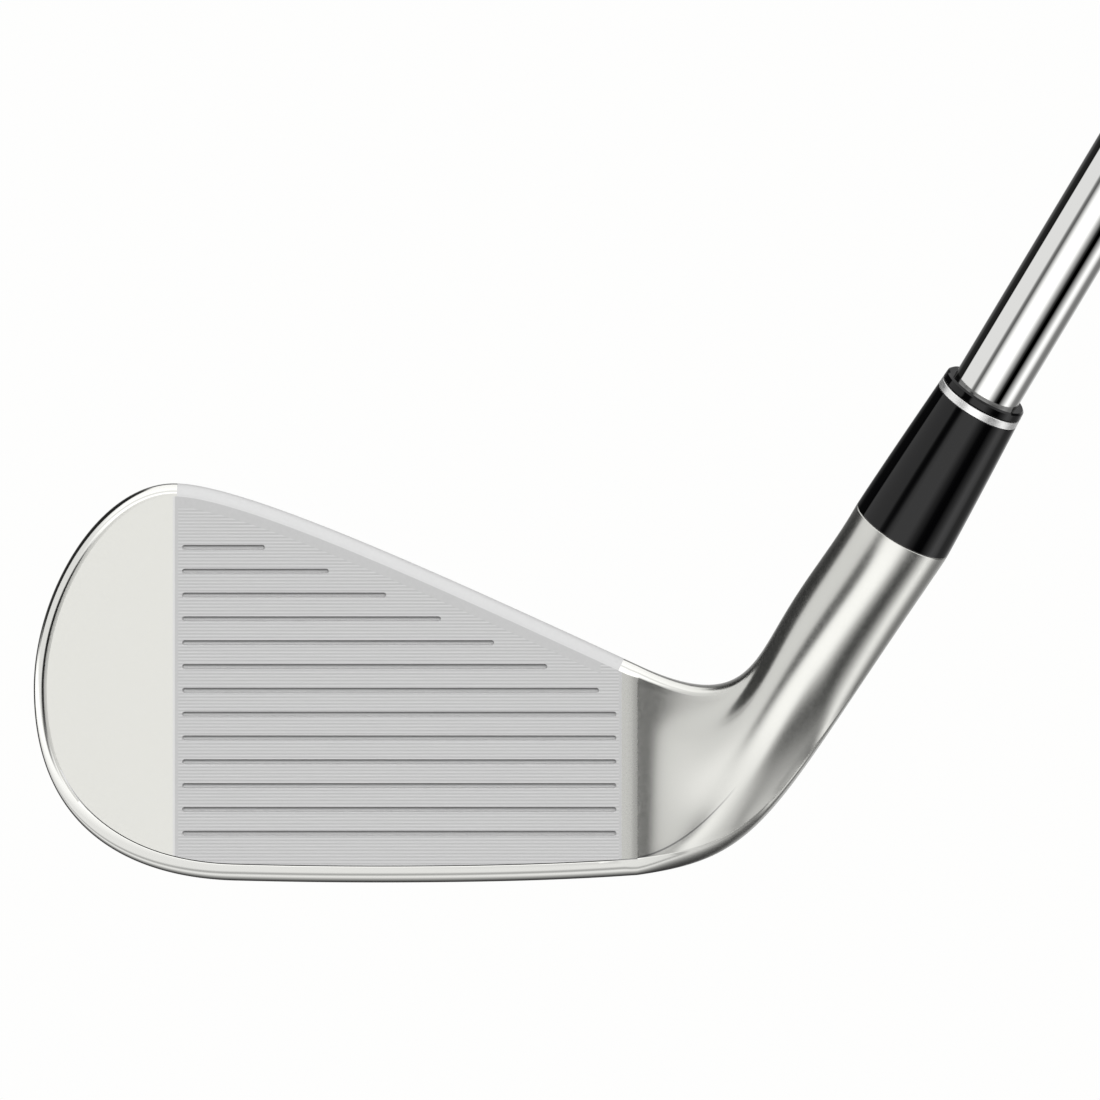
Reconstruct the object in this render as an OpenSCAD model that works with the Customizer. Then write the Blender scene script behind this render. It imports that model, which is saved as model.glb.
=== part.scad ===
// Right-handed cavity-back iron with a stepped steel shaft and a rubber grip.
// The club stands at address: ground at Z = 0, heel towards +X, target towards -Y.
// The origin is the point where the shaft's axis meets the ground.

/* [Club] */
// Angle that the face leans back from vertical, in degrees
loft = 19; // [17:0.5:23]
// Angle between the shaft and the ground, in degrees
lie = 60.5; // [59:0.5:62]
// Length along the shaft from the ground to the end of the grip
club_length = 978; // [960:1:1010]

/* [Head] */
// Distance of the toe tip from the middle of the face
toe_reach = 48.75; // [46:0.05:50]
// Height of the toe's highest point, measured up the face
toe_height = 53.3; // [51:0.1:55]
// Width of the rolled edge along the topline and toe
rim_top = 1.75; // [1.2:0.05:2]
// Width of the rolled leading edge
rim_sole = 2.3; // [2:0.1:3]
// Depth of the topline from front to back
topline_depth = 6; // [5:0.1:7.5]
// Depth of the sole from front to back
sole_depth = 20.5; // [18:0.5:22]
// Front-to-back camber of the sole, as rise per squared millimetre
sole_camber = 0.0215; // [0.015:0.0005:0.0225]

/* [Face] */
// Thickness of the welded face plate
plate_thickness = 2.5; // [2:0.1:3]
// Number of score lines
groove_count = 13; // [11:1:13]
// Distance from one score line to the next
groove_pitch = 3.177; // [3.1:0.001:3.2]
// Width of a score line
groove_width = 0.72; // [0.6:0.02:0.8]
// Depth of a score line
groove_depth = 0.4; // [0.3:0.05:0.5]
// Length of the longest score lines
groove_length = 57.9; // [54:0.1:59]

/* [Hosel and ferrule] */
// Outer radius of the hosel
hosel_r = 6.95; // [6.7:0.05:7.1]
// Distance of the hosel's top from the ground, along the shaft
hosel_top = 57.6; // [55:0.1:60]
// Length of the whole ferrule
ferrule_length = 22.5; // [20:0.1:26]
// Radius of the ferrule's upper end
ferrule_top_r = 5.8; // [5.4:0.05:6]

/* [Shaft] */
// Radius of the parallel tip section
tip_r = 4.7; // [4.65:0.05:4.7]
// Radius of the butt section under the grip
butt_r = 7.62; // [7.3:0.02:7.7]
// Number of steps between the tip and the butt section
step_count = 13; // [10:1:14]
// Distance between neighbouring steps
step_pitch = 38.1; // [33:0.1:38.2]

/* [Grip] */
// Length of the grip with its cap
grip_length = 267; // [255:1:268]
// Radius of the grip at its lower mouth
grip_mouth_r = 9.2; // [8.8:0.1:10]
// Radius of the grip at its cap
grip_butt_r = 13.8; // [13.2:0.1:14.5]
// Radius of the vent hole through the cap
vent_r = 1.5; // [1:0.1:2]

/* [Hidden] */
$fn = 64;

// Where the middle of the face's foot lies, seen from the origin.
face_x = -38.7;
face_y = -4.65;
face_z = 1.865;

// Blade outline in the face plane: X towards the heel, V up the face.
toe_v = 26;              // height of the toe tip
crown_x = -30;           // highest point of the toe
sole_x = -22;            // where the toe's curve runs into the sole
heel_x = 31.5;           // where the blade ends and the neck begins
plate_heel_x = 31.8;     // heel edge of the face plate
topline_end = [29.7, 30.05];
topline_slope = -0.46;
sole_low_x = -2.3;       // lowest point of the leading edge
sole_rise = 0.00068;     // the leading edge is a shallow parabola
heel_rise_x = 8;         // from here it also curls up towards the heel
heel_rise = 0.125;       // by this much at the first twenty millimetres
heel_rise_span = 20;
neck_end_t = 46;         // where the neck becomes the straight hosel, along the shaft

// Depths along the shaft, measured from the ground.
bore_bottom = 30.5;
shaft_tip = 32;
glue_gap = 0.1;
ring_height = 1.05;
cap_height = 1.35;
first_step = 244;
grip_cap_thickness = 4;
tape_thickness = 0.25;
grip_mouth = club_length - grip_length;
sleeve_end = club_length - grip_cap_thickness;
shaft_butt = sleeve_end;

function lerp(a, b, t) = a + (b - a) * t;
function smooth(t) = let (c = min(1, max(0, t))) c * c * (3 - 2 * c);
function unit(v) = v / norm(v);
function bezier(p, t) =
    pow(1 - t, 3) * p[0] + 3 * t * pow(1 - t, 2) * p[1] + 3 * t * t * (1 - t) * p[2] + pow(t, 3) * p[3];
// Point of a curve whose X is x, found by halving; X must grow along the curve.
function at_x(p, x, a = 0, b = 1, n = 16) =
    let (m = (a + b) / 2)
    n == 0 ? bezier(p, m) : bezier(p, m)[0] < x ? at_x(p, x, m, b, n - 1) : at_x(p, x, a, m, n - 1);

// The toe and topline curves, each from left to right.
function sole_v(x) = sole_rise * pow(x - sole_low_x, 2)
    + heel_rise * pow(max(0, (x - heel_rise_x) / heel_rise_span), 3);
toe_low = [[-toe_reach, toe_v], [-toe_reach, toe_v - 19],
           [sole_x - 13.9, 0.65], [sole_x, sole_v(sole_x)]];
toe_high = [[-toe_reach, toe_v], [-toe_reach, toe_v + 12.4],
            [crown_x - 10.3, toe_height], [crown_x, toe_height]];
topline = [[crown_x, toe_height], [crown_x + 9.2, toe_height],
           topline_end - 24.5 * [1, topline_slope], topline_end];

// Lower and upper edge of the blade at X.
function low_v(x) = x > sole_x ? sole_v(x) : at_x(toe_low, x)[1];
function high_v(x) =
    x > topline_end[0] ? topline_end[1] + topline_slope * (x - topline_end[0])
    : x > crown_x ? at_x(topline, x)[1] : at_x(toe_high, x)[1];

// Blade outline from the heel along the sole, round the toe and back along the topline.
function blade_outline(x_end) = concat(
    [for (i = [0:4]) let (x = lerp(x_end, sole_x, i / 5)) [x, sole_v(x)]],
    [for (i = [0:18]) bezier(toe_low, 1 - i / 18)],
    [for (i = [1:14]) bezier(toe_high, i / 14)],
    [for (i = [1:8]) bezier(topline, i / 8)],
    [[x_end, high_v(x_end)]]);

// Width of the rolled edge at height v.
function rim(v) = lerp(rim_sole, rim_top, smooth((v - 3) / 14));
function moved_in(pts) = [for (i = [0:len(pts) - 1])
    let (a = pts[max(0, i - 1)], b = pts[min(len(pts) - 1, i + 1)], d = unit(b - a))
    pts[i] + rim(pts[i][1]) * [d[1], -d[0]]];

edge_line = blade_outline(heel_x + 6);
function gap_to(p, a, b) =
    let (t = min(1, max(0, (p - a) * (b - a) / ((b - a) * (b - a))))) norm(p - lerp(a, b, t));
function edge_gap(p) = min([for (i = [1:len(edge_line) - 1]) gap_to(p, edge_line[i - 1], edge_line[i])]);
// How far a rolled edge of radius r falls back at a distance d from the outline.
function roll(d, r) = d >= r ? 0 : r - sqrt(max(0, r * r - pow(r - d, 2)));

// Depth of the back surface behind the face: thick sole, thin topline, narrow towards the toe.
middle_depth = 10.5;
taper_x = -16;
function sole_depth_at(x) =
    let (share = x > taper_x ? 0 : (taper_x - x) / (taper_x + toe_reach))
    lerp(middle_depth, sole_depth, sqrt(max(0, 1 - share * share)));
function back_depth(x, v) =
    lerp(sole_depth_at(x), lerp(middle_depth, topline_depth, smooth((v - 20) / 26)), smooth((v - 9) / 14));
// Distance behind the face of the line on which the sole touches the ground.
contact_depth = 9.5;
// The sole runs level with the ground, and the shear that does it fades out up the face.
function sheared(p) =
    let (share = 1 - smooth(p[1] / 30), d = -p[2])
    [p[0], p[1] + share * ((d - rim_sole) * tan(loft)
        + sole_camber * (pow(d - contact_depth, 2) - pow(rim_sole - contact_depth, 2)) / cos(loft)), p[2]];

// One blade section at X: up the front, over the topline, down the back and along the sole.
front_steps = 14;
roll_steps = 4;
back_roll = 1.8;
back_steps = 14;
function spread(i, n) = (1 - cos(180 * i / n)) / 2;
function blade_section(x) =
    let (lo = low_v(x), hi = high_v(x),
         front = [for (i = [0:front_steps]) let (v = lerp(lo, hi, spread(i, front_steps)))
                  [x, v, -roll(edge_gap([x, v]), rim(v))]],
         back = [for (i = [0:back_steps]) let (v = lerp(hi, lo, spread(i, back_steps)))
                 [x, v, -back_depth(x, v) + roll(edge_gap([x, v]), back_roll)]],
         crest = [for (i = [1:roll_steps - 1]) lerp(front[front_steps], back[0], i / roll_steps)],
         base = [for (i = [1:roll_steps - 1]) lerp(back[back_steps], front[0], i / roll_steps)])
    [for (p = concat(front, crest, back, base)) sheared(p)];

// The same loop of points on the round hosel, in degrees from its front.
front_edge = 75;
back_edge = 105;
function loop_angles() = concat(
    [for (i = [0:front_steps]) lerp(-front_edge, front_edge, spread(i, front_steps))],
    [for (i = [1:roll_steps - 1]) lerp(front_edge, back_edge, i / roll_steps)],
    [for (i = [0:back_steps]) lerp(back_edge, 360 - back_edge, spread(i, back_steps))],
    [for (i = [1:roll_steps - 1]) lerp(360 - back_edge, 360 - front_edge, i / roll_steps)]);
angles = loop_angles();

// Directions of the shaft in the face frame (X, V, W), W being the face's normal.
shaft_dir = [cos(lie), sin(lie) * cos(loft), sin(lie) * sin(loft)];
across_dir = [-sin(lie), cos(lie) * cos(loft), cos(lie) * sin(loft)];
front_dir = [0, -sin(loft), cos(loft)];
function to_face(p) = let (y = p[1] - face_y, z = p[2] - face_z)
    [p[0] - face_x, y * sin(loft) + z * cos(loft), -y * cos(loft) + z * sin(loft)];
axis_foot = to_face([0, 0, 0]);
function hosel_section(t) = let (c = axis_foot + t * shaft_dir)
    [for (a = angles) c + hosel_r * (sin(a) * across_dir + cos(a) * front_dir)];

// Neck: each loop point runs on a curve that leaves the blade towards the heel
// and enters the hosel along the shaft. The lower edge swings wide, the upper edge turns tightly.
leave_low = 7.1;
leave_high = 10.2;
enter_low = 40.2;
enter_high = 23;
function neck_section(q) =
    let (a = blade_section(heel_x), b = hosel_section(neck_end_t))
    [for (i = [0:len(a) - 1])
        let (up = smooth((a[i][1] - a[0][1]) / (high_v(heel_x) - a[0][1])),
             heading = lerp([1, 0.06, 0], [0.93, -0.37, 0], up))
        bezier([a[i], a[i] + lerp(leave_low, leave_high, up) * heading,
                b[i] - lerp(enter_low, enter_high, up) * shaft_dir, b[i]], q)];

blade_stations = 40;
neck_stations = 16;
function head_sections() = concat(
    [for (i = [0:blade_stations]) let (a = 90 * i / blade_stations)
        blade_section(lerp(-toe_reach + 0.15, heel_x, 1 - cos(a)))],
    [for (i = [1:neck_stations]) neck_section(i / neck_stations)],
    [hosel_section(hosel_top)]);

// Closed skin over a list of equal loops.
module skin(loops) {
    n = len(loops[0]);
    last = len(loops) - 1;
    points = [for (loop = loops) for (p = loop) p];
    walls = [for (i = [0:last - 1]) for (j = [0:n - 1]) let (k = (j + 1) % n)
        each [[i * n + j, (i + 1) * n + k, (i + 1) * n + j], [i * n + j, i * n + k, (i + 1) * n + k]]];
    caps = [[for (j = [n - 1:-1:0]) j], [for (j = [0:n - 1]) last * n + j]];
    polyhedron(points, concat(walls, caps), convexity = 8);
}

module face_frame() { translate([face_x, face_y, face_z]) rotate([90 - loft, 0, 0]) children(); }
module shaft_frame() { rotate([0, 90 - lie, 0]) children(); }
over = 1;                // how far cutting shapes stand out of what they cut
module tube(t0, t1, r_out, r_in) {
    translate([0, 0, t0]) difference() {
        cylinder(h = t1 - t0, r = r_out);
        translate([0, 0, -over]) cylinder(h = t1 - t0 + 2 * over, r = r_in);
    }
}

// Cavity behind the face, open to the back.
cavity_floor_v = 17;
cavity_heel_x = 25;
cavity_wall = 4.2;
cavity_corner = 3;
beyond = 60;             // longer than the head is wide, high or deep
module plate_outline() { polygon(moved_in(blade_outline(plate_heel_x))); }
module cavity_outline(inset = 0) {
    offset(r = cavity_corner - inset, $fn = 24) offset(delta = -cavity_corner) intersection() {
        offset(delta = -cavity_wall) polygon(blade_outline(plate_heel_x + cavity_wall));
        translate([-beyond, cavity_floor_v]) square([beyond + cavity_heel_x, beyond]);
    }
}
// Pocket behind the lower face, hidden by the sole's rear wall.
pocket_depth = 8;
pocket_toe_x = -30;
pocket_heel_x = 24;
pocket_low_v = 7;
pocket_high_v = 20;
module pocket_outline() {
    translate([pocket_toe_x, pocket_low_v])
        square([pocket_heel_x - pocket_toe_x, pocket_high_v - pocket_low_v]);
}
// Hole for the toe weight, drilled from the plate's seat.
weight_place = [-36.5, 12.8];
weight_r = 4.2;
weight_length = 9;

module head_body() {
    color("silver") difference() {
        face_frame() difference() {
            skin(head_sections());
            translate([0, 0, -plate_thickness]) linear_extrude(beyond) plate_outline();
            translate([0, 0, -beyond / 2]) linear_extrude(beyond) cavity_outline();
            translate([0, 0, -plate_thickness - pocket_depth])
                linear_extrude(pocket_depth + over) pocket_outline();
            translate([weight_place[0], weight_place[1], -plate_thickness - weight_length])
                cylinder(h = weight_length + over, r = weight_r);
        }
        shaft_frame() translate([0, 0, bore_bottom]) cylinder(h = beyond, r = tip_r + glue_gap);
    }
}

// Score lines: full width low on the face, then shortened to run along the topline.
groove_low_v = 6.6;
groove_margin = 5.75;    // least distance of a score line from the topline
function groove_end(v) =
    max([for (x = [crown_x + 5:0.1:groove_length / 2]) if (high_v(x) - v >= groove_margin) x]);
module groove(v) {
    x0 = -groove_length / 2 + groove_width / 2;
    x1 = groove_end(v) - groove_width / 2;
    translate([x0, v - groove_width / 2, -groove_depth]) cube([x1 - x0, groove_width, over]);
    for (x = [x0, x1]) translate([x, v, -groove_depth]) cylinder(h = over, d = groove_width, $fn = 24);
}
module face_plate() {
    color("gainsboro") face_frame() difference() {
        translate([0, 0, -plate_thickness]) linear_extrude(plate_thickness) plate_outline();
        for (i = [0:groove_count - 1]) groove(groove_low_v + i * groove_pitch);
    }
}

weight_gap = 0.2;        // between the weight and the face plate
module toe_weight() {
    color("dimgray") face_frame()
        translate([weight_place[0], weight_place[1], -plate_thickness - weight_length])
            cylinder(h = weight_length - weight_gap, r = weight_r);
}

// Layers glued to the back of the face plate, one on the other.
tape_layer = 0.3;
pad_layer = 1.4;
badge_layer = 0.8;
module cavity_layer(depth, thickness, inset) {
    face_frame() translate([0, 0, -plate_thickness - depth - thickness])
        linear_extrude(thickness) cavity_outline(inset);
}
tape_inset = 1.2;
pad_inset = 0.8;
badge_inset = 1.8;
module badge_tape() { color("lightgray") cavity_layer(0, tape_layer, tape_inset); }
module damper_pad() { color("black") cavity_layer(tape_layer, pad_layer, pad_inset); }
module badge_plate() { color("slategray") cavity_layer(tape_layer + pad_layer, badge_layer, badge_inset); }

module hosel_epoxy() {
    color("wheat") shaft_frame() {
        tube(shaft_tip, hosel_top, tip_r + glue_gap, tip_r);
    }
}

// Brass swing-weight pin: a collar under the shaft's tip and a stem inside it.
tip_wall = 0.75;         // thickness of the shaft's wall at its tip
butt_wall = 0.3;
stem_length = 18;
stem_gap = 0.05;
module tip_weight() {
    color("goldenrod") shaft_frame() {
        translate([0, 0, bore_bottom]) cylinder(h = shaft_tip - bore_bottom, r = tip_r);
        translate([0, 0, shaft_tip]) cylinder(h = stem_length, r = tip_r - tip_wall - stem_gap);
    }
}

// Stepped tube: each step is a short cone between two parallel stretches.
step_cone = 0.8;
function step_r(i) = lerp(tip_r, butt_r, i / step_count);
function step_wall(i) = lerp(tip_wall, butt_wall, i / step_count);
function step_t(i) = first_step + (i - 1) * step_pitch;
module shaft() {
    outer = concat([[tip_r, shaft_tip]],
        [for (i = [1:step_count]) each [[step_r(i - 1), step_t(i)], [step_r(i), step_t(i) + step_cone]]],
        [[butt_r, shaft_butt]]);
    inner = concat([[butt_r - butt_wall, shaft_butt]],
        [for (i = [step_count:-1:1]) each [[step_r(i) - step_wall(i), step_t(i) + step_cone],
                                           [step_r(i - 1) - step_wall(i - 1), step_t(i)]]],
        [[tip_r - tip_wall, shaft_tip]]);
    color("whitesmoke") shaft_frame() rotate_extrude() polygon(concat(outer, inner));
}

// Ferrule: a tapered sleeve, a bright ring let into its top and a short collar above it.
function ferrule_r(t) = lerp(hosel_r, ferrule_top_r, pow((t - hosel_top) / ferrule_length, 1.15));
ring_t = hosel_top + ferrule_length - cap_height - ring_height;
cap_t = ring_t + ring_height;
module ferrule_part(t0, t1, pieces) {
    wall = [for (i = [0:pieces]) let (t = lerp(t0, t1, i / pieces)) [ferrule_r(t), t]];
    shaft_frame() rotate_extrude() polygon(concat(wall, [[tip_r, t1], [tip_r, t0]]));
}
module ferrule_body() { color("black") ferrule_part(hosel_top, ring_t, 6); }
module ferrule_ring() { color("white") ferrule_part(ring_t, cap_t, 1); }
module ferrule_cap() { color("black") ferrule_part(cap_t, hosel_top + ferrule_length, 1); }

// Film label round one parallel stretch of the shaft, below the grip.
label_thickness = 0.1;
label_length = 24;
label_step = 12;
label_gap = 3;           // between the label and the step below it
module shaft_label() {
    t0 = step_t(label_step) + step_cone + label_gap;
    r = step_r(label_step);
    color("dimgray") shaft_frame() tube(t0, t0 + label_length, r + label_thickness, r);
}

// The grip's mouth is a plain lip, and the tape starts above it.
mouth_lip = 4;
mouth_bevel = 0.6;
module grip_tape() {
    color("beige") shaft_frame() tube(grip_mouth + mouth_lip, shaft_butt, butt_r + tape_thickness, butt_r);
}

// Grip: outer radius against the distance from its mouth, as shares of the sleeve's length.
function grip_r(u) = lerp(grip_mouth_r, grip_butt_r, 0.62 * u + 0.38 * pow(u, 6));
sleeve_pieces = 20;
module grip_sleeve() {
    span = sleeve_end - grip_mouth;
    tape_r = butt_r + tape_thickness;
    mouth = [[butt_r, grip_mouth], [grip_mouth_r - mouth_bevel, grip_mouth],
             [grip_mouth_r, grip_mouth + mouth_bevel]];
    wall = [for (i = [1:sleeve_pieces]) let (u = i / sleeve_pieces) [grip_r(u), grip_mouth + u * span]];
    inner = [[tape_r, sleeve_end], [tape_r, grip_mouth + mouth_lip], [butt_r, grip_mouth + mouth_lip]];
    color("black") shaft_frame() rotate_extrude() polygon(concat(mouth, wall, inner));
}

cap_edge = 1;            // bevel round the grip's end
module grip_cap() {
    color("black") shaft_frame() rotate_extrude() polygon([
        [vent_r, sleeve_end],
        [grip_butt_r, sleeve_end],
        [grip_butt_r, club_length - cap_edge],
        [grip_butt_r - cap_edge, club_length],
        [vent_r, club_length]]);
}

head_body();
face_plate();
toe_weight();
badge_tape();
damper_pad();
badge_plate();
hosel_epoxy();
tip_weight();
shaft();
ferrule_body();
ferrule_ring();
ferrule_cap();
shaft_label();
grip_tape();
grip_sleeve();
grip_cap();
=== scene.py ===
"""Looks of the iron: a satin and polished chrome head, chrome shaft, black ferrule and rubber grip.

Head geometry is worked out in millimetres in the face's own frame: X towards the heel,
V up the face, W out of the face. It is moved into the model's frame when a mesh is made.
"""
import math

import bmesh
import bpy
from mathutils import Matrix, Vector, geometry


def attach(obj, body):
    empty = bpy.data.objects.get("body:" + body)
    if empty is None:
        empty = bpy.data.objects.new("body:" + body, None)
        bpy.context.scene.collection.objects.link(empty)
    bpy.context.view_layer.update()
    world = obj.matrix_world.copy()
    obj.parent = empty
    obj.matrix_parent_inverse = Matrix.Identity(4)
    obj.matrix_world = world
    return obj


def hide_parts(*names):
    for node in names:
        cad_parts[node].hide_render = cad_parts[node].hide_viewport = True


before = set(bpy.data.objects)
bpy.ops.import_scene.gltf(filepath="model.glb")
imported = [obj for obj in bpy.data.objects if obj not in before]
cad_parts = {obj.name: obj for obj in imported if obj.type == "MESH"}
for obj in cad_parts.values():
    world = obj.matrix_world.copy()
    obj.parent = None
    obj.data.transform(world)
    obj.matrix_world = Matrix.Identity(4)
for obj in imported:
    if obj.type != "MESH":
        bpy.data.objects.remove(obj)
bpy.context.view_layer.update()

MM = 0.001

# ------------------------ the two frames
LOFT = math.radians(19)
LIE = math.radians(60.5)
FACE_FOOT = Vector((-38.7, -4.65, 1.865))
FACE_X = Vector((1, 0, 0))
FACE_V = Vector((0, math.sin(LOFT), math.cos(LOFT)))
FACE_W = Vector((0, -math.cos(LOFT), math.sin(LOFT)))
SHAFT = Vector((math.cos(LIE), 0, math.sin(LIE)))
SHAFT_FRONT = (FACE_W - SHAFT * FACE_W.dot(SHAFT)).normalized()
SHAFT_SIDE = SHAFT_FRONT.cross(SHAFT).normalized() * -1


def face_point(x, v, w=0.0):
    """Point of the face's frame, in millimetres of the model's frame."""
    return FACE_FOOT + x * FACE_X + v * FACE_V + w * FACE_W


def to_face(p):
    d = p - FACE_FOOT
    return Vector((d.dot(FACE_X), d.dot(FACE_V), d.dot(FACE_W)))


def shaft_point(t, r, angle):
    """Point at t along the shaft's axis and r from it; angle 0 is the side the face looks to."""
    return t * SHAFT + r * (math.cos(angle) * SHAFT_FRONT + math.sin(angle) * SHAFT_SIDE)


# ------------------------ small helpers
def lerp(a, b, t):
    return a + (b - a) * t


def smooth(t):
    t = min(1.0, max(0.0, t))
    return t * t * (3 - 2 * t)


def bezier(points, t):
    """Point of a Bezier curve with any number of control points."""
    points = [Vector(p) for p in points]
    while len(points) > 1:
        points = [a.lerp(b, t) for a, b in zip(points, points[1:])]
    return points[0]


def resample(line, count):
    """The polyline with count equal steps."""
    lengths = [0.0]
    for a, b in zip(line, line[1:]):
        lengths.append(lengths[-1] + (b - a).length)
    result = []
    k = 0
    for i in range(count + 1):
        target = lengths[-1] * i / count
        while k < len(line) - 2 and lengths[k + 1] < target:
            k += 1
        share = (target - lengths[k]) / max(1e-9, lengths[k + 1] - lengths[k])
        result.append(line[k].lerp(line[k + 1], min(1.0, share)))
    return result


class Shell:
    """Points, faces and material slots of a mesh as it grows, in millimetres of the model's frame."""

    def __init__(self):
        self.points = []
        self.faces = []
        self.slots = []

    def add(self, point):
        self.points.append(point)
        return len(self.points) - 1

    def head_vertex(self, x, v, w):
        """A vertex of the head from the face's frame, slanted with the sole."""
        return self.add(face_point(*sheared(x, v, w)))

    def strip(self, a, b, slot, closed=False):
        """Quads between two rows of vertices; slot may depend on the place along the row."""
        pairs = list(zip(a, a[1:], b[1:], b))
        if closed:
            pairs.append((a[-1], a[0], b[0], b[-1]))
        for k, quad in enumerate(pairs):
            self.faces.append(quad)
            self.slots.append(slot(k) if callable(slot) else slot)

    def cap(self, ring):
        self.faces.append(tuple(ring[::-1]))
        self.slots.append(0)


def make_mesh(name, shell, materials, uv=None, sharp=30.0, closed=True):
    """A piece from a shell; a closed one is turned right side out."""
    mesh = bpy.data.meshes.new(name)
    mesh.from_pydata([p * MM for p in shell.points], [], shell.faces)
    for material in materials:
        mesh.materials.append(material)
    for polygon, slot in zip(mesh.polygons, shell.slots):
        polygon.material_index = slot
    if closed:
        turner = bmesh.new()
        turner.from_mesh(mesh)
        bmesh.ops.recalc_face_normals(turner, faces=turner.faces)
        turner.to_mesh(mesh)
        turner.free()
    for polygon in mesh.polygons:
        polygon.use_smooth = True
    mesh.set_sharp_from_angle(angle=math.radians(sharp))
    layer = mesh.uv_layers.new(name="uv")
    flat = uv or [to_face(p).xy for p in shell.points]
    for loop in mesh.loops:
        layer.data[loop.index].uv = flat[loop.vertex_index]
    piece = bpy.data.objects.new(name, mesh)
    bpy.context.scene.collection.objects.link(piece)
    return piece


def stand_for(piece, node):
    """The piece stands for a CAD node and rides on the club's one body."""
    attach(piece, "root")
    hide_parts(node)


# ------------------------ materials
class Tree:
    """Short way to wire the nodes of a material or a world."""

    def __init__(self, owner):
        owner.use_nodes = True
        self.tree = owner.node_tree

    def add(self, kind, inputs=None, **settings):
        node = self.tree.nodes.new(kind)
        for key, value in settings.items():
            setattr(node, key, value)
        for key, value in (inputs or {}).items():
            self.plug(value, node.inputs[key])
        return node

    def plug(self, value, socket):
        if isinstance(value, bpy.types.NodeSocket):
            self.tree.links.new(value, socket)
        elif isinstance(value, bpy.types.Node):
            self.tree.links.new(value.outputs[0], socket)
        else:
            socket.default_value = value

    def mix(self, factor, a, b):
        node = self.add("ShaderNodeMix", data_type="RGBA")
        self.plug(factor, node.inputs["Factor"])
        self.plug(a, node.inputs[6])
        self.plug(b, node.inputs[7])
        return node.outputs[2]


class Nodes(Tree):
    """A new material."""

    def __init__(self, name):
        self.material = bpy.data.materials.new(name)
        super().__init__(self.material)
        self.bsdf = self.tree.nodes["Principled BSDF"]

    def set(self, **values):
        for key, value in values.items():
            self.plug(value, self.bsdf.inputs[key.replace("_", " ")])

    def math(self, operation, a, b=0.0):
        return self.add("ShaderNodeMath", {0: a, 1: b}, operation=operation).outputs[0]

    def mapped(self, value, low, high, to_low, to_high):
        inputs = {"Value": value, "From Min": low, "From Max": high, "To Min": to_low, "To Max": to_high}
        return self.add("ShaderNodeMapRange", inputs).outputs[0]

    def place(self, scale=(1, 1, 1)):
        """Object coordinates in metres, stretched by scale."""
        coords = self.add("ShaderNodeTexCoord").outputs["Object"]
        return self.add("ShaderNodeMapping", {"Vector": coords, "Scale": scale}).outputs[0]

    def noise(self, vector, scale, detail=2.0, roughness=0.5):
        inputs = {"Vector": vector, "Scale": scale, "Detail": detail, "Roughness": roughness}
        return self.add("ShaderNodeTexNoise", inputs).outputs["Fac"]

    def face_uv(self):
        """The face's frame in millimetres: as a vector, X alone and V alone."""
        uv = self.add("ShaderNodeUVMap", uv_map="uv")
        parts = self.add("ShaderNodeSeparateXYZ", {0: uv.outputs[0]})
        return uv.outputs[0], parts.outputs[0], parts.outputs[1]

    def rough(self, grain, low, high):
        """Roughness between low and high, led by the grain."""
        self.set(Roughness=self.mapped(grain, 0.3, 0.7, low, high))

    def bump(self, height, distance, strength=1.0):
        inputs = {"Height": height, "Distance": distance, "Strength": strength}
        return self.add("ShaderNodeBump", inputs).outputs[0]


def grey(level, warm=0.0):
    return (level, level * (1 - warm * 0.05), level * (1 - warm), 1)


SATIN = 0.645
SATIN_ROUGH = 0.25
POLISH = 0.76
POLISH_ROUGH = 0.1


# The seam leaves the blade's end and climbs the neck on this curve: height, slope and bend.
SEAM_START = 3.35
SEAM_SLOPE = 0.2
SEAM_BEND = 0.04
SEAM_FADE_X = 40.0
SEAM_END_X = 45.0


def neck_seam_shade_mask(n):
    """0 in the fine line of painted shade along the seam on the neck's front, 1 beside it."""
    _, x, v = n.face_uv()
    along = n.math("SUBTRACT", x, HEEL_X)
    slope = n.math("ADD", n.math("MULTIPLY", along, SEAM_BEND), SEAM_SLOPE)
    line = n.math("ADD", n.math("MULTIPLY", slope, along), SEAM_START)
    beside = n.mapped(n.math("ABSOLUTE", n.math("SUBTRACT", v, line)), 0.0, 0.2, 0.0, 1.0)
    return n.math("MAXIMUM", beside, n.mapped(x, SEAM_FADE_X, SEAM_END_X, 0.0, 1.0))


def satin_chrome(name, seam=False):
    """Bead-blasted chrome of the hosel and the neck."""
    n = Nodes(name)
    grain = n.noise(n.place(), 2600, 3)
    clouds = n.noise(n.place(), 60, 2)
    tint = n.mix(clouds, grey(SATIN * 0.97, 0.05), grey(SATIN * 1.03, 0.05))
    # With seam set, the base colour gets a thin line of painted shade along the neck's seam.
    n.set(Base_Color=n.mix(neck_seam_shade_mask(n), grey(0.2), tint) if seam else tint, Metallic=1.0)
    n.rough(grain, SATIN_ROUGH * 0.93, SATIN_ROUGH * 1.07)
    n.set(Normal=n.bump(grain, 0.000002, 0.2))
    return n.material


def polished_rim():
    """Polished rolled edge; past the heel it turns into the neck's satin."""
    n = Nodes("polished_chrome")
    _, x, _ = n.face_uv()
    dulled = n.mapped(x, ZONE_HEEL_X, ZONE_HEEL_X + 12, 0.0, 1.0)
    scuff = n.mapped(n.noise(n.place((1, 1, 6)), 900, 4), 0.3, 0.7, 0.85, 1.2)
    roughness = n.mapped(dulled, 0.0, 1.0, POLISH_ROUGH, SATIN_ROUGH)
    n.set(Base_Color=n.mix(dulled, grey(POLISH, 0.04), grey(SATIN, 0.05)), Metallic=1.0)
    n.set(Roughness=n.math("MULTIPLY", roughness, scuff))
    return n.material


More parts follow.
